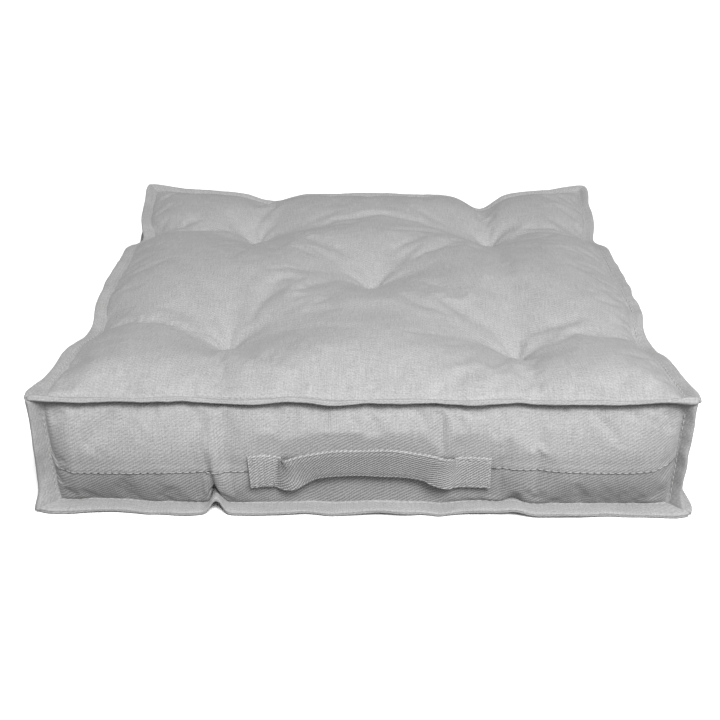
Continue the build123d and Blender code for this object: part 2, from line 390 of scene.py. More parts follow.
def top_height(plan, edges):
    """Height of the top: it rises from the edges and from each valley, and the lowest of these rises wins.

    A valley is a straight stretch between two tufts, or from a tuft to the notch in an edge. It rises in the
    middle. The lowest is taken softly, as minus the log of the sum of exponentials.
    """
    flat, edge_level = plan[..., :2], plan[..., 2]
    notches = {}
    for side, pair in EDGE_NOTCHES.items():
        cells = [round((notch[0] / TOP_ROOT + 1) / 2 * CELLS) for notch in pair]
        notches[side] = edges[side][cells]
    rises = []
    for start, end, crest in valley_runs(notches):
        away, share = segment_distance(flat, start[:2], end[:2])
        floor = start[2] + (end[2] - start[2]) * share
        floor = floor + (crest - floor) * np.sin(np.pi * share) ** 0.7
        rises.append(floor + PILLOW_RISE * (1 - np.exp(-away / PILLOW_REACH)))
    from_edge = from_rim(flat.shape[:2]) * 2 * TOP_ROOT / CELLS
    rises.append(edge_level + 1.15 * (CROWN_HEIGHT - EDGE_HEIGHT) * (1 - np.exp(-from_edge / RIM_REACH)))
    soft, base, lift = 2.5, 100, 1.5  # the rounding, a level near the result, and what rounding takes off
    return -soft * np.log(np.exp(-(np.array(rises) - base) / soft).sum(0)) + base + lift


def softened(height, plan, times=7):
    """Heights drawn half way to their neighbours' mean, again and again, away from the rim and tufts."""
    away = np.min([np.linalg.norm(plan[..., :2] - tuft[:2], axis=-1) for tuft in TUFTS], axis=0)
    free = np.clip((away[1:-1, 1:-1] - 6.0) / 12.0, 0, 1)
    height = height.copy()
    for _ in range(times):
        mean = (height[:-2, 1:-1] + height[2:, 1:-1] + height[1:-1, :-2] + height[1:-1, 2:]) / 4
        height[1:-1, 1:-1] += 0.5 * free * (mean - height[1:-1, 1:-1])
    return height


def from_rim(shape):
    """Cells from each point of a square grid to the nearest edge of it."""
    row, column = np.indices(shape)
    return np.minimum(np.minimum(row, shape[0] - 1 - row), np.minimum(column, shape[1] - 1 - column))


def bottom_height(plan):
    """Height of the underside: flat on the floor, up to its edges at the rim, and drawn up at each knot."""
    inward = from_rim(plan.shape[:2]) * 2 * BOTTOM_ROOT / CELLS
    flat = 1.0
    height = flat + (plan[..., 2] - flat) * np.exp(-inward / 10.0)
    for name in TUFT_NAMES:
        low, high = frame_box(f"tuft_knot_{name}")
        away = np.linalg.norm(plan[..., :2] - ((low + high) / 2)[:2], axis=-1)
        height = height + (high[2] - 0.4) * bell(away, 26.0)
    return height


def gather_to_tufts(plan):
    """Slides the grid in plan so that one of its points lies on each tuft."""
    for tuft in TUFTS:
        away = np.linalg.norm(plan[..., :2] - tuft[:2], axis=-1)
        nearest = np.unravel_index(away.argmin(), away.shape)
        shift = tuft[:2] - plan[nearest][:2]
        plan[..., :2] += shift * bell(away, 22.0)[..., None]
    return plan


def band_grid(top, seam, bottom, side):
    """Rows of a side from its top edge down to the seam and on to its bottom edge, swelling outwards."""
    upper = np.linspace(0, 1, UPPER_ROWS + 1)[:, None]
    lower = np.linspace(0, 1, LOWER_ROWS + 1)[1:, None]
    height = np.concatenate([top[:, 2] + (seam - top[:, 2]) * upper, seam + (bottom[:, 2] - seam) * lower])
    drop = (top[:, 2] - height) / (top[:, 2] - bottom[:, 2])
    rows = top[None] + (bottom - top)[None] * drop[..., None]
    ends = fading(SIDE_SHARE, 0.08) ** 0.5
    swell = SIDE_SWELL * np.sin(np.pi * np.clip(drop, 0, 1) ** SWELL_SINK) ** SWELL_ROUND * ends
    rows = rows + side_out(side) * swell[..., None]
    rows[..., 2] = height
    return rows


CLOTH = {  # of a sturdy twill
    "quality": 6,
    "mass": 0.25,
    "air_damping": 3.0,
    "tension_stiffness": 18.0,
    "compression_stiffness": 12.0,
    "shear_stiffness": 6.0,
    "bending_stiffness": 0.6,
    "shrink_min": -0.012,
    "use_pressure": True,
    "uniform_pressure_force": 3.5,
    "vertex_group_mass": "pinned",
}


def drape(points, quads, pinned, frames=22, cap=14.0):
    """Cloth under the filling's pressure: pinned points stay, and no point moves further than cap."""
    obj = mesh_object("cloth_form", points, quads)
    group = obj.vertex_groups.new(name="pinned")
    group.add(np.flatnonzero(pinned).tolist(), 1.0, "REPLACE")
    cloth = obj.modifiers.new("cloth", "CLOTH")
    for key, value in CLOTH.items():
        setattr(cloth.settings, key, value)
    cloth.settings.effector_weights.gravity = 0
    cloth.collision_settings.use_collision = False
    cloth.point_cache.frame_end = frames
    scene = bpy.context.scene
    for step in range(1, frames + 1):
        scene.frame_set(step)
    shown = obj.evaluated_get(bpy.context.evaluated_depsgraph_get()).to_mesh()
    made = np.empty(len(points) * 3, np.float32)
    shown.vertices.foreach_get("co", made)
    scene.frame_set(1)
    bpy.data.objects.remove(obj)
    move = made.reshape(-1, 3) / MM - points
    far = np.linalg.norm(move, axis=1, keepdims=True)
    return points + move * np.minimum(1, cap / np.maximum(far, 1e-9))


@functools.lru_cache(maxsize=1)
def cover_form():
    """The cover's surface: {"top": grid, "front": grid, ...} in millimetres, as the cloth comes to rest."""
    edges = {side: top_edge(side) for side in SIDES}
    feet = {side: bottom_edge(side) for side in SIDES}
    sides = list(SIDES)
    after = dict(zip(sides, sides[1:] + sides[:1]))
    for side in sides:  # the corners of neighbouring sides meet
        edges[after[side]][0] = edges[side][-1]
        feet[after[side]][0] = feet[side][-1]
    plan = gather_to_tufts(panel_grid(edges))
    top = np.concatenate([plan[..., :2], softened(top_height(plan, edges), plan)[..., None]], -1)
    rim = {"front": top[0], "right": top[:, -1], "back": top[-1, ::-1], "left": top[::-1, 0]}
    for side in SIDES:
        rim[side][:] = edges[side]
    bands = {side: band_grid(edges[side], seam_height(side), feet[side], side) for side in SIDES}
    for side in sides:
        bands[after[side]][:, 0] = bands[side][:, -1]
    floor_plan = gather_to_tufts(panel_grid(feet))
    bottom = np.concatenate([floor_plan[..., :2], bottom_height(floor_plan)[..., None]], -1)
    top, bands = drape_cover(top, bands)
    bands["front"] = press_behind_handle(bands["front"])
    return {"top": top, "bottom": bottom, **bands}


def drape_cover(top, bands):
    """Drapes the top and the four bands as one mesh, held at their edges, corners and tufts."""
    loop = np.concatenate([bands[side][:, :-1] for side in SIDES], 1)  # all four sides, round once
    rows, count = loop.shape[:2]
    top_count = (CELLS + 1) ** 2
    index = np.arange(top_count).reshape(CELLS + 1, CELLS + 1)
    rim = once_round(index)
    below = top_count + np.arange((rows - 1) * count).reshape(rows - 1, count)
    table = np.concatenate([rim[None], below])
    around = table.reshape(-1)[grid_quads(rows, count, wrap=True).reshape(-1, 4)][:, ::-1]
    quads = np.concatenate([grid_quads(CELLS + 1, CELLS + 1).reshape(-1, 4), around])
    points = np.concatenate([top.reshape(-1, 3), loop[1:].reshape(-1, 3)])
    pinned = np.zeros(len(points), bool)
    pinned[rim] = True
    pinned[below[-1]] = True
    pinned[below[:, ::CELLS]] = True
    for tuft in TUFTS:
        away = np.linalg.norm(points[:top_count, :2] - tuft[:2], axis=1)
        pinned[:top_count] |= away < 4.0
    made = drape(points, quads, pinned)
    new_top = made[:top_count].reshape(top.shape)
    new_loop = made[table.reshape(-1)].reshape(rows, count, 3)
    closed = np.concatenate([new_loop, new_loop[:, :1]], 1)
    new_bands = {side: closed[:, k * CELLS : (k + 1) * CELLS + 1].copy() for k, side in enumerate(SIDES)}
    return new_top, new_bands


# ---------------------------------------------------------------- meshes

def mesh_object(name, points, quads, uv=None):
    """New object at the origin from points in millimetres; uv gives each point's place on the flat cloth."""
    mesh = bpy.data.meshes.new(name)
    corners = np.asarray(points).reshape(-1, 3) * MM
    mesh.from_pydata(corners.tolist(), [], quads.reshape(-1, 4).tolist())
    if uv is not None:
        corner = np.empty(len(mesh.loops), np.int32)
        mesh.loops.foreach_get("vertex_index", corner)
        layer = mesh.uv_layers.new(name="Cloth")
        layer.data.foreach_set("uv", (uv.reshape(-1, 2) * MM)[corner].astype(np.float32).ravel())
    mesh.shade_smooth()
    mesh.update()
    obj = bpy.data.objects.new(name, mesh)
    bpy.context.scene.collection.objects.link(obj)
    return obj


def finish_piece(obj, material, body="root", replaces=(), smooth=0, thick=0.0):
    """Gives a piece its material and body, a subdivision and a wall of cloth inwards."""
    obj.data.materials.append(material)
    if smooth:
        subdivision = obj.modifiers.new("smooth", "SUBSURF")
        subdivision.levels = subdivision.render_levels = smooth
    if thick:
        wall = obj.modifiers.new("cloth", "SOLIDIFY")
        wall.thickness = thick * MM
        wall.offset = -1
    if body:
        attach(obj, body)
    if replaces:
        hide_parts(*replaces)
    return obj


# ---------------------------------------------------------------- materials

def add_node(tree, kind, inputs=None, **settings):
    """Adds one node: settings are its properties, and inputs gives each socket a value or a link."""
    made = tree.nodes.new(kind)
    for key, value in settings.items():
        setattr(made, key, value)
    for key, value in (inputs or {}).items():
        if isinstance(value, bpy.types.NodeSocket):
            tree.links.new(value, made.inputs[key])
        else:
            made.inputs[key].default_value = value
    return made


def math_node(tree, operation, *values):
    return add_node(tree, "ShaderNodeMath", dict(enumerate(values)), operation=operation).outputs[0]


def noise_node(tree, vector, scale, detail, roughness=0.5, distortion=0.0, output="Fac"):
    inputs = {"Vector": vector, "Scale": scale, "Detail": detail, "Roughness": roughness}
    inputs["Distortion"] = distortion
    return add_node(tree, "ShaderNodeTexNoise", inputs).outputs[output]


def wave_node(tree, vector, repeat, direction, inputs):
    """Light and dark bands, one for each repeat: a wave of scale pi / 10 repeats in 1."""
    inputs = {"Vector": vector, "Scale": math.pi / 10 / repeat, **inputs}
    return add_node(tree, "ShaderNodeTexWave", inputs, bands_direction=direction).outputs["Fac"]


def scaled(tree, vector, scale=(1 / MM, 1 / MM, 1 / MM), angle=0.0):
    """A place stretched, from metres to millimetres if not told otherwise, and turned."""
    inputs = {"Vector": vector, "Scale": scale, "Rotation": (0, 0, angle)}
    return add_node(tree, "ShaderNodeMapping", inputs).outputs[0]


def object_place(tree):
    return scaled(tree, add_node(tree, "ShaderNodeTexCoord").outputs["Object"])


def ranged(tree, value, made, given=(0.0, 1.0)):
    """A value carried from the given range to the made one."""
    ends = dict(zip(("From Min", "From Max", "To Min", "To Max"), (*given, *made)))
    return add_node(tree, "ShaderNodeMapRange", {"Value": value, **ends}).outputs[0]


def new_material(name):
    material = bpy.data.materials.new(name)
    material.use_nodes = True
    return material, material.node_tree, material.node_tree.nodes["Principled BSDF"]


def set_face(tree, shader, colour, tone, height, bump, finish):
    """Gives a shader a colour times a tone, a bump of some strength and depth in mm, and its finish."""
    tinted = {0: tuple(colour)[:3], "Scale": tone}
    base = add_node(tree, "ShaderNodeVectorMath", tinted, operation="SCALE").outputs[0]
    tree.links.new(base, shader.inputs["Base Color"])
    relief = {"Height": height, "Strength": bump[0], "Distance": bump[1] * MM}
    tree.links.new(add_node(tree, "ShaderNodeBump", relief).outputs[0], shader.inputs["Normal"])
    for key, value in finish.items():
        shader.inputs[key].default_value = value


def twill_material(name, colour, rib, angle, raised, contrast, shade_heights=None):
    """Coarse cotton and linen twill, woven from uneven slub yarn.

    It has diagonal ribs with furrows between them, thick and thin yarns both ways, and a matt, slightly
    hairy face. The furrows are painted dark by contrast: partly the weave's own colour and partly painted
    shade, the shade that grazing light throws in them. The last argument gives the heights on the cloth
    between which the furrows are painted stronger and the whole colour darker downwards: painted shade of a
    side that turns under.
    """
    material, tree, shader = new_material(name)
    uv = add_node(tree, "ShaderNodeUVMap", uv_map="Cloth").outputs[0]
    mm = scaled(tree, uv)
    sway = {0: noise_node(tree, mm, 0.06, 3.0, output="Color"), 1: (3.2, 3.2, 0.0), 2: mm}
    swayed = add_node(tree, "ShaderNodeVectorMath", sway, operation="MULTIPLY_ADD").outputs[0]
    across_ribs = scaled(tree, swayed, (1, 1, 1), angle)
    uneven = {"Distortion": 1.6, "Detail": 2.0, "Detail Scale": 1.4}
    ribs = wave_node(tree, across_ribs, rib, "Y", uneven)
    uneven = {"Distortion": 2.2, "Detail": 2.0, "Detail Scale": 1.0}
    floats = wave_node(tree, swayed, 0.62 * rib, "X", uneven)
    both_ways = ((0.05, 0.9, 1.0), (0.9, 0.05, 1.0))
    yarns = [noise_node(tree, scaled(tree, mm, stretch), 1.0, 3.0, 0.6) for stretch in both_ways]
    hairs = noise_node(tree, mm, 0.6, 4.0, 0.75)
    blotch = noise_node(tree, mm, 0.035, 3.0)
    slub = math_node(tree, "ADD", *yarns)
    weave = math_node(tree, "MULTIPLY_ADD", floats, 0.35, ribs)
    centred = math_node(tree, "SUBTRACT", weave, 0.675)
    relief = math_node(tree, "MULTIPLY_ADD", slub, 0.9, weave)
    relief = math_node(tree, "MULTIPLY_ADD", hairs, 0.8, relief)
    speckle = math_node(tree, "MULTIPLY_ADD", hairs, 2.4, slub)
    painted_shade = 1.0
    # Painted shade: lower down a band its colour is painted darker and its furrows stronger, for the shade
    # of a side that turns under.
    if shade_heights:
        down = add_node(tree, "ShaderNodeSeparateXYZ", {0: uv}).outputs["Y"]
        heights = (shade_heights[1] * MM, shade_heights[0] * MM)
        contrast = ranged(tree, down, (contrast, 0.04), heights)
        painted_shade = ranged(tree, down, (0.78, 1.0), heights)
    # The furrows painted dark: partly the weave's colour and partly painted shade from grazing light.
    marks = math_node(tree, "MULTIPLY_ADD", centred, contrast, speckle)
    tone = ranged(tree, marks, (0.66, 1.32), (1.55, 2.85))
    patch = ranged(tree, blotch, (0.96, 1.04), (0.3, 0.7))
    shade = math_node(tree, "MULTIPLY", math_node(tree, "MULTIPLY", tone, patch), painted_shade)
    finish = {"Roughness": 0.92, "Specular IOR Level": 0.2, "Sheen Weight": 0.18, "Sheen Roughness": 0.5}
    set_face(tree, shader, colour, shade, relief, (1.0, raised), finish)
    return material


def yarn_material(name, colour, pitch):
    """Twisted matt yarn, spun polyester or waxed twine: fine slanting plies with a little unevenness."""
    material, tree, shader = new_material(name)
    plies = wave_node(tree, object_place(tree), pitch, "DIAGONAL", {"Distortion": 1.0})
    tone = ranged(tree, plies, (0.78, 1.1))
    set_face(tree, shader, colour, tone, plies, (0.5, 0.2), {"Roughness": 0.8, "Specular IOR Level": 0.3})
    return material


def seen_and_lit(tree, lighting, seen, output):
    """Shows one shader to the camera and another to all that it lights."""
    ray = add_node(tree, "ShaderNodeLightPath").outputs["Is Camera Ray"]
    mixed = add_node(tree, "ShaderNodeMixShader", {0: ray, 1: lighting.outputs[0], 2: seen.outputs[0]})
    tree.links.new(mixed.outputs[0], tree.nodes[output].inputs[0])


def paper_material(name, colour):
    """Matt white studio paper, shown to the camera brighter than its colour.

    It throws less light back up than it shows, as paper would with black boards round it.
    """
    made, tree, shader = new_material(name)
    shader.inputs["Base Color"].default_value = (*(FLOOR_SHOWN * part for part in tuple(colour)[:3]), 1)
    shader.inputs["Roughness"].default_value = 1.0
    shader.inputs["Specular IOR Level"].default_value = 0.0
    dull = add_node(tree, "ShaderNodeBsdfDiffuse", {"Color": (FLOOR_BOUNCE, FLOOR_BOUNCE, FLOOR_BOUNCE, 1)})
    seen_and_lit(tree, dull, shader, "Material Output")
    return made


def fibre_material(name, colour):
    """White carded polyester fibre, bonded in a block: fine tangled strands with a soft shine."""
    material, tree, shader = new_material(name)
    strands = noise_node(tree, object_place(tree), 0.5, 6.0, distortion=2.5)
    tone = ranged(tree, strands, (0.85, 1.05))
    set_face(tree, shader, colour, tone, strands, (0.9, 1.2), {"Roughness": 0.7, "Sheen Weight": 0.3})
    return material


@functools.lru_cache(maxsize=None)
def material(name):
    """The finish of that name, made once. A twill's values are its rib, slant, relief and contrast, and for
    the band the heights of its painted shade.
    """
    colours = bpy.context.scene.cushion_colours
    rib = bpy.context.scene.cushion_sizes.rib_pitch / MM
    # One cloth, with its furrows painted faint on the panels and corners and dark on the band and the strap:
    # painted shade, as on faces under grazing light.
    twills = {
        "twill_panel_faint_furrows": (rib, math.radians(32), 0.17, 0.1),
        "twill_corner_faint_furrows": (rib, math.radians(-30), 0.14, 0.15),
        "twill_band": (0.95 * rib, math.radians(-30), 0.25, 1.0, (-46.0, -86.0)),
        "ribbed_twill_strap": (0.8 * rib, math.radians(-36), 0.45, 1.3),
    }
    yarns = {"spun_polyester_thread": (colours.thread, 0.7), "waxed_tufting_twine": (colours.twine, 0.9)}
    if name in twills:
        return twill_material(name, colours.cloth, *twills[name])
    if name in yarns:
        return yarn_material(name, *yarns[name])
    return fibre_material(name, colours.fibre)


# ---------------------------------------------------------------- pieces

SKY_LIGHT = 0.15
FLOOR_BOUNCE = 0.24  # share of light that the floor throws back on the cushion
FLOOR_SHOWN = 1.7  # how much brighter the floor is shown than its colour
FLOOR_HALF = 12000.0
LAMPS = (  # name, kind, place in metres, power, and its angle in radians or size in metres
    ("key", "SUN", (0.55, -2.0, 2.6), 2.5, math.radians(18)),
    ("near", "AREA", (0.25, -0.9, 0.9), 9.0, 0.8),
)
CAMERA_PLACE = (0.0073, -1.1702, 0.5926)  # in metres
CAMERA_DOWN, CAMERA_TURN = 26.5, 0.63  # in degrees
FOCAL_LENGTH, SENSOR_WIDTH = 54.5, 36.0


class CUSHION_OT_stage(bpy.types.Operator):
    """Floor, soft light and camera"""

    bl_idname = "cushion.stage"
    bl_label = "Stage"

    def execute(self, context):
        scene = context.scene
        world = bpy.data.worlds.new("studio")
        world.use_nodes = True
        dim = world.node_tree.nodes["Background"]
        dim.inputs["Color"].default_value = (1, 1, 1, 1)
        dim.inputs["Strength"].default_value = SKY_LIGHT
        bright = add_node(world.node_tree, "ShaderNodeBackground", {"Color": (1, 1, 1, 1), "Strength": 1.0})
        seen_and_lit(world.node_tree, dim, bright, "World Output")
        scene.world = world
        scene.view_settings.view_transform = "Standard"
        corners = FLOOR_HALF * np.array([[-1, -1, 0], [1, -1, 0], [1, 1, 0], [-1, 1, 0]])
        floor = mesh_object("floor", corners, np.array([[0, 1, 2, 3]]))
        floor.data.materials.append(paper_material("matt_studio_paper", scene.cushion_colours.floor))
        for name, kind, place, power, size in LAMPS:
            lamp = bpy.data.lights.new(name, kind)
            lamp.energy = power
            setattr(lamp, "angle" if kind == "SUN" else "size", size)
            holder = bpy.data.objects.new(name, lamp)
            holder.location = place
            toward = Vector((0, 0, 0.05)) - Vector(place)
            holder.rotation_euler = toward.to_track_quat("-Z", "Y").to_euler()
            scene.collection.objects.link(holder)
        lens = bpy.data.cameras.new("camera")
        lens.lens, lens.sensor_width = FOCAL_LENGTH, SENSOR_WIDTH
        camera = bpy.data.objects.new("camera", lens)
        camera.location = CAMERA_PLACE
        camera.rotation_euler = (math.radians(90 - CAMERA_DOWN), 0, math.radians(CAMERA_TURN))
        scene.collection.objects.link(camera)
        scene.camera = camera
        return {"FINISHED"}


PUCKERS, PUCKER_HEIGHT, PUCKER_REACH = 7, 1.1, 14.0  # round each tuft, highest at that distance from it


class CUSHION_OT_cover(bpy.types.Operator):
    """Top panel, bottom panel and the eight side bands"""

    bl_idname = "cushion.cover"
    bl_label = "Cover"

    def execute(self, context):
        form = cover_form()
        top, bottom = crease_top(refined(form["top"])), refined(form["bottom"])
        quads = grid_quads(*top.shape[:2])
        across = np.linspace(-CUT_SIDE / 2, CUT_SIDE / 2, len(top))
        cut = np.stack(np.meshgrid(across, across), -1)
        for node, grid, faces in (("top", top, quads), ("bottom", bottom, quads[..., ::-1])):
            obj = mesh_object(f"{node}_panel_cloth", grid, faces, cut)
            twill = material("twill_panel_faint_furrows")
            finish_piece(obj, twill, replaces=(f"{node}_panel",), thick=PANEL_WALL)
        for side in SIDES:
            make_bands(side, form[side])
        return {"FINISHED"}


def crease_top(grid):
    """Fine folds in the top: puckers that run out from each tuft, and the hollow that its thread pulls."""
    fall = np.zeros(grid.shape[:2])
    for k, tuft in enumerate(TUFTS):
        to_point = grid[..., :2] - tuft[:2]
        away = np.linalg.norm(to_point, axis=-1)
        share = away / PUCKER_REACH
        angle = np.arctan2(to_point[..., 1], to_point[..., 0])
        rays = np.cos(PUCKERS * angle + 1.9 * k + 0.8 * np.sin(2 * angle + k))
        fall -= PUCKER_HEIGHT * rays * share * np.exp(1 - share)
        fall -= 3.0 * bell(away, 5.0) + 1.5 * bell(away, 13.0)
    grid = grid.copy()
    grid[..., 2] += fall
    return grid


def band_outward(rows):
    """Unit normals of a side, pointing out of the cushion."""
    return -grid_normals(rows)


def make_bands(side, coarse):
    """Upper band, whose folded hem laps over the lower one at the level seam, and the lower band."""
    times = 2 if side == "front" else 1
    rows = refined(coarse, times)
    outward = band_outward(rows)
    if side == "front":
        rows = pinch_front(rows, outward)
    down = run_length(rows[:, rows.shape[1] // 2])
    along = np.linspace(-1, 1, rows.shape[1]) * TOP_ROOT
    uv = np.stack(np.broadcast_arrays(along[None], -down[:, None]), -1)
    split = UPPER_ROWS * 2**times
    behind = split - 2 * 2**times  # the lower band begins two rows up behind the lap
    proud = 0.8 * np.exp(-((np.maximum(down[split] - down, 0) / 7.0) ** 4))
    lapped = rows + outward * proud[:, None, None]
    for half, shape, part in (("upper", lapped, slice(0, split + 1)), ("lower", rows, slice(behind, None))):
        grid = shape[part]
        name = f"{side}_{half}_band"
        obj = mesh_object(f"{name}_cloth", grid, grid_quads(*grid.shape[:2])[..., ::-1], uv[part])
        finish_piece(obj, material("twill_band"), replaces=(name,), thick=BAND_WALL)


def pinch_front(rows, outward):
    """Creases pressed into the front where its bottom edge is caught up in pleats."""
    press = 0
    x, z = rows[..., 0], rows[..., 2]
    for place, width, lift in PLEATS[:2]:
        off = x - place + 0.45 * width + 0.12 * (z - 20.0)
        depth = lift * (0.75 * bell(z - 1.35 * lift, 8.0) + 0.3 * bell(z - 2.4 * lift, 14.0))
        press += depth * bell(off, 0.55 * width) - 0.15 * depth * bell(off, 1.8 * width)
    return rows - outward * press[..., None]


class CUSHION_OT_filling(bpy.types.Operator):
    """Fibre filling: a closed form just inside the cover"""

    bl_idname = "cushion.filling"
    bl_label = "Filling"

    def execute(self, context):
        form = cover_form()
        loop = np.concatenate([form[side][:, :-1] for side in SIDES], 1)
        for place, width, lift in PLEATS[:2]:
            hollow = bell(loop[..., 0] - place, 3 * width) * bell(loop[..., 2] - 1.5 * lift, 30.0)
            loop[..., 1] += lift * hollow * (loop[..., 1] < -0.9 * BOTTOM_ROOT)
        rows, count = loop.shape[:2]
        top, bottom = form["top"], form["bottom"]
        side_count = CELLS + 1
        rim = once_round(np.arange(side_count**2).reshape(side_count, side_count))
        points = np.concatenate([top.reshape(-1, 3), bottom.reshape(-1, 3), loop[1:-1].reshape(-1, 3)])
        between = 2 * side_count**2 + np.arange((rows - 2) * count).reshape(rows - 2, count)
        table = np.concatenate([rim[None], between, rim[None] + side_count**2])
        around = table.reshape(-1)[grid_quads(rows, count, wrap=True).reshape(-1, 4)][:, ::-1]
        cells = grid_quads(side_count, side_count).reshape(-1, 4)
        quads = np.concatenate([cells, cells[:, ::-1] + side_count**2, around])
        obj = mesh_object("filling_block", points, quads)
        normals = np.empty(len(points) * 3, np.float32)
        obj.data.vertex_normals.foreach_get("vector", normals)
        inner = points - normals.reshape(-1, 3) * FILLING_INSET
        obj.data.vertices.foreach_set("co", (inner * MM).astype(np.float32).ravel())
        obj.data.update()
        finish_piece(obj, material("carded_polyester_fibre"), replaces=("fibre_filling",))
        return {"FINISHED"}


def edge_profile(width, half_thick):
    """Outline of a pinched edge: pinched at the stitches, padded beyond them and closed at its fold."""
    out = np.array([-5.0, -2.0, 0.6, 2.4, 4.2, 0.55 * width, 0.8 * width, 0.93 * width, width, 0.95 * width])
    half = np.array([0.6, 0.8, 0.75, 0.48, 0.85, 1.05, 1.1, 0.95, 0.5, 0.0]) * half_thick
    return np.concatenate([out, out[-2::-1]]), np.concatenate([half, -half[-2::-1]])


def pinched_strip(
    name, feet, out, up, width, seed, flutter, finish="twill_panel_faint_furrows", ends=(1, 1), blunt=0, caught=()
):
    """Two layers of cloth sewn together as a lip, with its outer edge fluttering up and down.

    Its profile is carried along the feet, thicker and thinner by turns. ends says how much further it
    reaches at its ends, blunt how much its tips are rounded off, and caught where pleats draw it in. It
    returns the line of its stitches on its upper and lower face, and the direction up from them.
    """
    sizes = bpy.context.scene.cushion_sizes
    half = sizes.edge_thickness / MM / 2
    along = run_length(feet)
    to_end = along[-1] - along
    inside = np.sin(np.pi * along / along[-1]) ** 0.3  # 0 at both ends

    def noise(wavelength, step):
        return noise_along(along, wavelength, seed + step, across=37.0 * seed)

    plump = 1 + 0.10 * noise(60.0, 0) + 0.05 * noise(13.0, 1)
    plump = plump * (1 + 0.5 * bell(along, 12.0) + 0.5 * bell(to_end, 12.0))
    flap = flutter * (noise(75.0, 2) + 0.3 * noise(24.0, 3)) * inside
    reach = 1 + 0.035 * noise(45.0, 4) * inside
    reach = reach * (1 + (ends[0] - 1) * bell(along, 22.0) + (ends[1] - 1) * bell(to_end, 22.0))
    for place, half_wide, lift in caught:
        reach = reach * (1 - 0.032 * lift * bell(feet[:, 0] - place, 1.3 * half_wide))
    reach = reach * (1 - blunt * (bell(along, 5.0) + bell(to_end, 5.0)))
    a, b = edge_profile(width, half)
    gathers = 1 + 0.16 * np.cos(2 * np.pi * along / (sizes.stitch_pitch / MM))[:, None] * bell(a - 3.5, 3.0)
    outward = np.where(a > 0, a * reach[:, None], a)
    upward = b * plump[:, None] * gathers + flap[:, None] * np.clip(a / width, 0, 1) ** 1.5
    rings = carried(feet, out, up, np.stack([outward, upward], -1))
    rings[..., 2] = np.maximum(rings[..., 2], 0.2)  # what would sink into the floor lies flat on it
    points, quads = closed_tube(rings)
    capped = np.concatenate([along[:1], along, along[-1:]])
    uv = np.stack(np.broadcast_arrays(capped[:, None], run_length(np.stack([a, b], -1))[None]), -1)
    obj = mesh_object(name, points, quads, uv)
    finish_piece(obj, material(finish), smooth=1)
    depth, height = 2.4, 0.48 * half + 0.25  # of the groove that the stitches lie in
    return feet + depth * out + height * up, feet + depth * out - height * up, up


def mitred(sideways, ahead, behind, along, reach=30.0):
    """Turns a strip's outward direction near its ends, so that it meets its neighbours at the corners."""
    start = np.clip(1 - along / reach, 0, 1)[:, None] ** 2
    return sideways + behind * start + ahead * np.clip(1 - (along[-1] - along) / reach, 0, 1)[:, None] ** 2


def at_distance(distance, along, line):
    """Points of a line at the given distances along it."""
    return np.stack([np.interp(distance, along, line[:, k]) for k in range(3)], -1)


def stitch_row(name, node, rows, thick=0.55):
    """Rows of stitches as one mesh: each is a short six-sided lozenge whose ends dip into the cloth."""
    pitch = bpy.context.scene.cushion_sizes.stitch_pitch / MM
    ahead = np.array([-0.5, -0.42, -0.2, 0.2, 0.42, 0.5]) * 0.80 * pitch  # places along one stitch
    rise = np.array([-0.9, -0.1, 0.35, 0.35, -0.1, -0.9]) * thick
    girth = np.array([0.35, 0.8, 1.0, 1.0, 0.8, 0.35]) * thick
    turn = np.arange(6) * np.pi / 3
    parts = []
    for line, up in rows:
        along = run_length(line)
        count = max(2, int(along[-1] / pitch))
        middle = (np.arange(count) + 0.5) * along[-1] / count
        lift = unit(at_distance(middle, along, up))
        tangent = unit(at_distance(middle + 1.5, along, line) - at_distance(middle - 1.5, along, line))
        side = np.cross(tangent, lift)
        spine = carried(at_distance(middle, along, line), tangent, lift, np.stack([ahead, rise], -1)[None])
        ring = carried(np.zeros((count, 3)), side, lift, np.stack([np.cos(turn), np.sin(turn)], -1)[None])
        rings = spine[:, :, None] + girth[None, :, None, None] * ring[:, None]
        tips = spine[:, [0, -1]][:, :, None].repeat(6, 2)
        body = np.concatenate([tips[:, :1], rings, tips[:, 1:]], 1)
        parts += [(stitch, grid_quads(len(stitch), 6, wrap=True)) for stitch in body]
    obj = mesh_object(name, *joined(parts))
    merge_and_face_out(obj)
    finish_piece(obj, material("spun_polyester_thread"), replaces=node)


def merge_and_face_out(obj):
    """Merges points that lie on each other and turns the faces of each closed shell outwards."""
    work = bmesh.new()
    work.from_mesh(obj.data)
    bmesh.ops.remove_doubles(work, verts=work.verts, dist=0.002 * MM)
    bmesh.ops.dissolve_degenerate(work, edges=work.edges, dist=0.001 * MM)
    bmesh.ops.recalc_face_normals(work, faces=work.faces)
    work.to_mesh(obj.data)
    work.free()
    obj.data.shade_smooth()
    obj.data.update()


def side_out(side):
    return turned(np.array([0.0, -1.0, 0.0]), SIDES[side])


def side_along(side):
    return turned(np.array([1.0, 0.0, 0.0]), SIDES[side])


UP = np.array([0.0, 0.0, 1.0])


class CUSHION_OT_edges(bpy.types.Operator):
    """Pinched edges round the top, round the bottom and up the four corners, with their stitches"""

    bl_idname = "cushion.edges"
    bl_label = "Pinched edges"

    def execute(self, context):
        for k, side in enumerate(SIDES):
            rows = refined(cover_form()[side])
            make_level_edge(side, k, "top", rows[0], TOP_WIDTH, TOP_TILT[side], 0.8, 11 + 10 * k)
            make_level_edge(side, k, "bottom", rows[-1], BOTTOM_WIDTH, (0.0, 0.0, 0.0), 0.25, 12 + 10 * k)
            make_corner_edge(side, k, rows[:, 0])
        return {"FINISHED"}


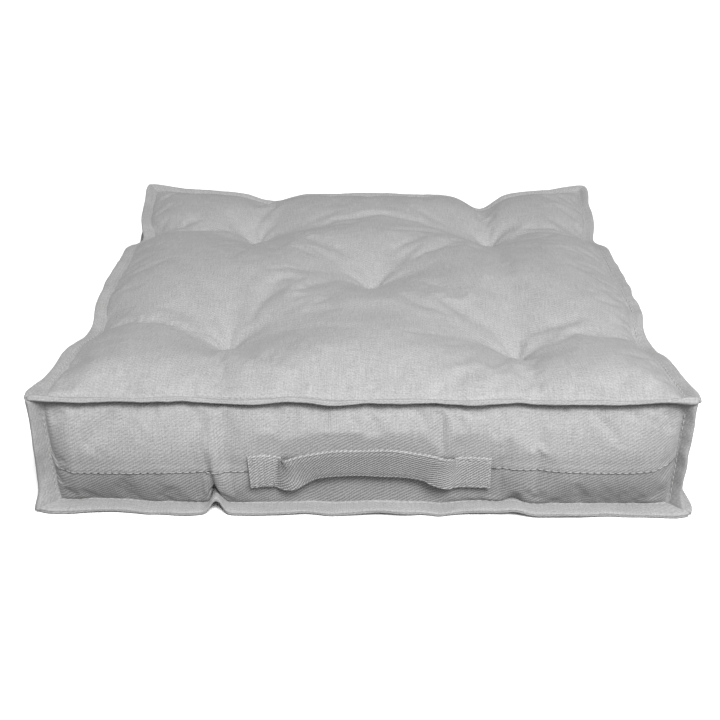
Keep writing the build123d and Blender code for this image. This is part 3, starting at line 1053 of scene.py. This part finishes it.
def make_level_edge(side, k, place, feet, width, tilts, flutter, seed):
    """The pinched edge along the top or bottom of a side, tipped up at its start, middle and end."""
    ahead, outward = side_along(side), side_out(side)
    along = run_length(feet)
    t = 2 * along / along[-1] - 1
    tilt = tilts[1] + np.where(t < 0, tilts[0] - tilts[1], tilts[2] - tilts[1]) * np.abs(t) ** 6
    tilt = np.radians(tilt)[:, None]
    out = mitred(outward, ahead, -ahead, along) * np.cos(tilt) + UP * np.sin(tilt)
    up = UP * np.cos(tilt) - outward * np.sin(tilt)
    reach = CORNER_REACH[place]
    caught = PLEATS if (side, place) == ("front", "bottom") else ()
    ends = (reach[k], reach[(k + 1) % 4])
    name = f"{side}_{place}_edge"
    made = pinched_strip(name, feet, out, up, width, seed, flutter, ends=ends, blunt=0.18, caught=caught)
    sew_edge(f"{side}_{place}_edge_stitches", f"{side}_{place}_stitching", made, slice(1, -1))


def make_corner_edge(side, k, feet):
    """The pinched edge up the corner at a side's start. It spreads where it meets the bottom edges."""
    out = unit(side_out(side) - side_along(side))
    up = np.broadcast_to(np.cross(UP, out), feet.shape)
    down = run_length(feet)
    near_top, near_foot = bell(down, 17.0), bell(down[-1] - down, 13.0)
    out = out * (1 - 0.04 * near_top + 0.62 * near_foot)[:, None]
    out = out + UP * (0.30 * near_top - 0.10 * near_foot)[:, None]
    name = f"{side}_left_corner_edge"
    made = pinched_strip(name, feet, out, up, CORNER_WIDTHS[k], 61 + k, 1.6, "twill_corner_faint_furrows")
    sew_edge(f"{side}_left_corner_stitches", f"{side}_corner_stitching", made, slice(2, -2))


def sew_edge(name, node, edge, inside):
    """Stitches on both faces of a pinched edge."""
    upper, under, lift = edge
    stitch_row(name, (node,), ((upper[inside], lift[inside]), (under[inside], -lift[inside])))


class CUSHION_OT_seam_stitches(bpy.types.Operator):
    """The row of stitches above the level seam on each side"""

    bl_idname = "cushion.seam_stitches"
    bl_label = "Level seam stitches"

    def execute(self, context):
        for side in SIDES:
            rows = refined(cover_form()[side])
            split = UPPER_ROWS * 2
            lift = band_outward(rows)[split]
            line = rows[split] + 0.28 * (rows[split - 1] - rows[split]) + lift * 0.85
            line, lift = line[3:-3], lift[3:-3]
            runs = [(line, lift)]
            if side == "front":
                beside = (line[:, 0] < HANDLE_LEFT, line[:, 0] > HANDLE_RIGHT)
                runs = [(line[part], lift[part]) for part in beside]
            stitch_row(f"{side}_seam_stitches", (f"{side}_seam_stitching",), runs, thick=0.42)
        return {"FINISHED"}


class CUSHION_OT_tufts(bpy.types.Operator):
    """Five tufts: a bar of thread on top, a twisted twine through the filling and a knot under the bottom"""

    bl_idname = "cushion.tufts"
    bl_label = "Tufts"

    def execute(self, context):
        for name, tuft in zip(TUFT_NAMES, TUFTS):
            make_tuft_bar(name, tuft)
            make_twine(name)
            make_knot(name)
        return {"FINISHED"}


def tube(line, radius, around=8, reference=(0.0, 0.0, 1.0)):
    """Rings of a round tube along a line; radius may change along it."""
    tangent = unit(np.gradient(line, axis=0))
    side = unit(np.cross(tangent, np.array(reference)))
    lift = np.cross(side, tangent)
    turn = np.arange(around) * 2 * np.pi / around
    radius = np.broadcast_to(radius, len(line))[:, None, None]
    ring = np.cos(turn)[None, :, None] * side[:, None] + np.sin(turn)[None, :, None] * lift[:, None]
    return line[:, None] + radius * ring


def joined(parts):
    """Points and quads of several meshes put together."""
    points, quads, offset = [], [], 0
    for part_points, part_quads in parts:
        flat = np.asarray(part_points).reshape(-1, 3)
        points.append(flat)
        quads.append(np.asarray(part_quads).reshape(-1, 4) + offset)
        offset += len(flat)
    return np.concatenate(points), np.concatenate(quads)


def tuft_piece(name, node, parts):
    """One piece of a tuft, made of waxed twine."""
    obj = mesh_object(name, *joined(parts))
    merge_and_face_out(obj)
    finish_piece(obj, material("waxed_tufting_twine"), replaces=(node,))


def make_tuft_bar(name, tuft):
    """Four strands of thread side by side, each an arch that dips into the cloth at both ends."""
    share = np.linspace(-1, 1, 17)
    parts = []
    for strand in (-1.1, -0.4, 0.35, 1.1):
        across = strand * (1 - 0.35 * share**2)
        arch = 0.9 - 3.0 * np.abs(share) ** 3 - 0.2 * strand**2
        parts.append(closed_tube(tube(tuft + np.stack([5.2 * share, across, arch], -1), 0.55)))
    tuft_piece(f"tuft_bar_{name}", f"tuft_stitch_{name}", parts)


def make_twine(name):
    """Three plies wound round each other, from the knot below up to the bar."""
    low, high = frame_box(f"tuft_twine_{name}")
    middle = (low + high) / 2
    height = np.linspace(low[2], high[2], 60)
    lay, wound = 9.0, 0.62  # height of one turn, and each ply's distance from the middle
    parts = []
    for ply in range(3):
        angle = 2 * np.pi * (height / lay + ply / 3)
        line = np.stack([middle[0] + wound * np.cos(angle), middle[1] + wound * np.sin(angle), height], -1)
        parts.append(closed_tube(tube(line, 0.68, 6, (1.0, 0.0, 0.0))))
    tuft_piece(f"tuft_twine_strands_{name}", f"tuft_twine_{name}", parts)


def make_knot(name):
    """A trefoil knot, drawn flat: (sin t + 2 sin 2t, cos t - 2 cos 2t, -sin 3t), with two short tails."""
    low, high = frame_box(f"tuft_knot_{name}")
    middle, spread = (low + high) / 2, (high - low) / 2
    t = np.linspace(0, 2 * np.pi, 60)[:-1]
    loop = np.stack([np.sin(t) + 2 * np.sin(2 * t), np.cos(t) - 2 * np.cos(2 * t), -np.sin(3 * t)], -1)
    loop = loop / np.array([3.0, 3.0, 1.0]) * (spread - np.array([1.0, 1.0, 0.9]))
    line = middle + np.concatenate([loop, loop[:1]])
    rings = tube(np.concatenate([line[-2:-1], line, line[1:2]]), 0.95, 8)[1:-2]
    closed = grid_quads(len(rings) + 1, 8, wrap=True) % (8 * len(rings))  # the last ring joins the first
    parts = [(rings, closed)]
    share = np.linspace(0, 1, 12)
    for turn in (0.5, 3.4):
        away = 1.5 + 8 * share
        tail = np.stack([np.cos(turn + share) * away, np.sin(turn + share) * away, -0.6 * share], -1)
        parts.append(closed_tube(tube(middle + tail, 0.8, 7)))
    tuft_piece(f"tuft_knot_tied_{name}", f"tuft_knot_{name}", parts)


class CUSHION_OT_handle(bpy.types.Operator):
    """Carry handle: a folded twill strap with sewn ends, and a grip between them on the handle's body"""

    bl_idname = "cushion.handle"
    bl_label = "Carry handle"

    def execute(self, context):
        grip_start, grip_end = (corner[0] for corner in frame_box("handle_grip"))
        stations = handle_stations(cover_form()["front"])
        x, near = stations[:, 0], 0.01
        grip = (x >= grip_start - near) & (x <= grip_end + near)
        for name, node, part, bend in (
            ("handle_left_tail", "handle_left_end", x <= grip_start + near, (BEND_LEFT, grip_start)),
            ("handle_grip_strap", "handle_grip", grip, None),
            ("handle_right_tail", "handle_right_end", x >= grip_end - near, (BEND_RIGHT, grip_end)),
        ):
            obj = make_strap(name, stations, part)
            body = None if bend else "handle"
            finish_piece(obj, material("ribbed_twill_strap"), body=body, replaces=(node,))
            if bend:
                start, end = ((place * MM, HINGE_OUT * MM, HINGE_HEIGHT * MM) for place in bend)
                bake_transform(obj)
        for end, part in (("left", x <= BEND_LEFT - 2.0), ("right", x >= BEND_RIGHT + 2.0)):
            lines = handle_box_lines(stations[part][:, :3])
            stitch_row(f"handle_{end}_box_stitches", (f"handle_{end}_stitching",), lines, thick=0.4)
        return {"FINISHED"}


def side_depth(rows, x, z):
    """How far out the front stands at each x and height z, by straight interpolation between its rows."""
    depth = []
    for place, height in zip(np.atleast_1d(x), np.atleast_1d(z)):
        column = np.abs(rows[0, :, 0] - place).argmin()
        line = rows[:, column]
        depth.append(np.interp(-height, -line[:, 2], line[:, 1]))
    return np.array(depth)


def handle_stations(front):
    """Points along the strap, each with x, y, z of its middle and its lean: a curve through its places.

    The strap stands off the side where it is free, and lies on it where it is sewn.
    """
    places = np.array(HANDLE_PLACES)
    spans, per_span, quarter = len(places) - 1, 8, 9.0
    fine = np.linspace(0, spans, spans * per_span + 1)
    x, stand, z, lean = (cubic(values, fine) for values in places.T)
    depth = np.minimum(side_depth(front, x, z + quarter), side_depth(front, x, z - quarter))
    follow = np.clip((6.0 - stand) / 4.0, 0, 1)  # the free part doesn't follow the side's dents
    y = (depth * follow - STRAP_BACKING * (1 - follow)) - stand
    return np.stack([x, y, z, lean], -1)


def cubic(values, at):
    """Catmull-Rom curve through evenly stepped values."""
    ends = np.concatenate([[2 * values[0] - values[1]], values, [2 * values[-1] - values[-2]]])
    cell = np.clip(at.astype(int), 0, len(values) - 2)
    t = at - cell
    a, b, c, d = (ends[cell + k] for k in range(4))
    return 0.5 * (2 * b + (c - a) * t + (2 * a - 5 * b + 4 * c - d) * t**2 + (3 * b - a - 3 * c + d) * t**3)


def make_strap(name, stations, part):
    """The strap's rounded section carried along its stations, closed at both ends."""
    tangent = unit(np.gradient(stations[:, :3], axis=0))
    lean = np.radians(stations[:, 3])
    upward = np.stack([0 * lean, -np.sin(lean), np.cos(lean)], -1)
    upward = unit(upward - (upward * tangent).sum(-1, keepdims=True) * tangent)
    outward = np.cross(tangent, upward)
    along = run_length(stations[:, :3])
    share = np.linspace(-1, 1, 25)
    wide = share * STRAP_WIDTH / 2
    thick = STRAP_THICK / 2 * np.maximum(1 - np.abs(share) ** 14, 0) ** 0.5
    thick = thick * (1 - 0.30 * bell(np.abs(wide) - (STRAP_WIDTH / 2 - BOX_INSET), 1.1))
    section = np.concatenate([np.stack([wide, thick], -1), np.stack([wide[-2:0:-1], -thick[-2:0:-1]], -1)])
    waver = 1 + 0.025 * noise_along(along, 40.0, 91)
    profile = section[None] * np.stack([waver, np.ones_like(waver)], -1)[:, None]
    rings = carried(stations[:, :3], upward, outward, profile)[part]
    points, quads = closed_tube(rings)
    distance = along[part]
    distance = np.concatenate([distance[:1], distance, distance[-1:]])
    around = run_length(np.concatenate([section, section[:1]]))[:-1]
    uv = np.stack(np.broadcast_arrays(distance[:, None], around[None]), -1)
    obj = mesh_object(name, points, quads[..., ::-1], uv)
    obj.data.set_sharp_from_angle(angle=math.radians(50))
    return obj


def handle_box_lines(line):
    """The lines of stitches that hold a sewn end: a box, seen on the strap's outer face."""
    tangent = unit(np.gradient(line, axis=0))
    outward = unit(np.cross(tangent, UP))
    face = line + outward * (STRAP_THICK / 2 - 0.1)
    half = STRAP_WIDTH / 2 - BOX_INSET
    rows = [((face + UP * offset)[1:-1], outward[1:-1]) for offset in (-half, half)]
    heights = np.linspace(-half, half, 8)[:, None]
    for foot in (face[1], face[-2]):
        rows.append((foot + heights * UP, np.repeat(outward[:1], len(heights), 0)))
    return rows


class CUSHION_PT_panel(bpy.types.Panel):
    """Lists the cushion's sizes, its colours and what builds each group of pieces"""

    bl_idname = "CUSHION_PT_panel"
    bl_label = "Cushion"
    bl_space_type = "VIEW_3D"
    bl_region_type = "UI"
    bl_category = "Cushion"

    def draw(self, context):
        for group in (context.scene.cushion_sizes, context.scene.cushion_colours):
            for key in group.bl_rna.properties.keys():
                if key not in ("rna_type", "name"):
                    self.layout.prop(group, key)
        for made in OPERATORS:
            self.layout.operator(made.bl_idname)


OPERATORS = (
    CUSHION_OT_stage,
    CUSHION_OT_cover,
    CUSHION_OT_filling,
    CUSHION_OT_edges,
    CUSHION_OT_seam_stitches,
    CUSHION_OT_tufts,
    CUSHION_OT_handle,
)
CLASSES = (CushionSizes, CushionColours, *OPERATORS, CUSHION_PT_panel)


def register():
    for made in CLASSES:
        bpy.utils.register_class(made)
    bpy.types.Scene.cushion_sizes = bpy.props.PointerProperty(type=CushionSizes)
    bpy.types.Scene.cushion_colours = bpy.props.PointerProperty(type=CushionColours)


def unregister():
    del bpy.types.Scene.cushion_sizes
    del bpy.types.Scene.cushion_colours
    for made in reversed(CLASSES):
        bpy.utils.unregister_class(made)


def main():
    """Builds every piece in order."""
    register()
    bpy.ops.cushion.stage()
    bpy.ops.cushion.cover()
    bpy.ops.cushion.filling()
    bpy.ops.cushion.edges()
    bpy.ops.cushion.seam_stitches()
    bpy.ops.cushion.tufts()
    bpy.ops.cushion.handle()


if __name__ == "__main__":
    main()
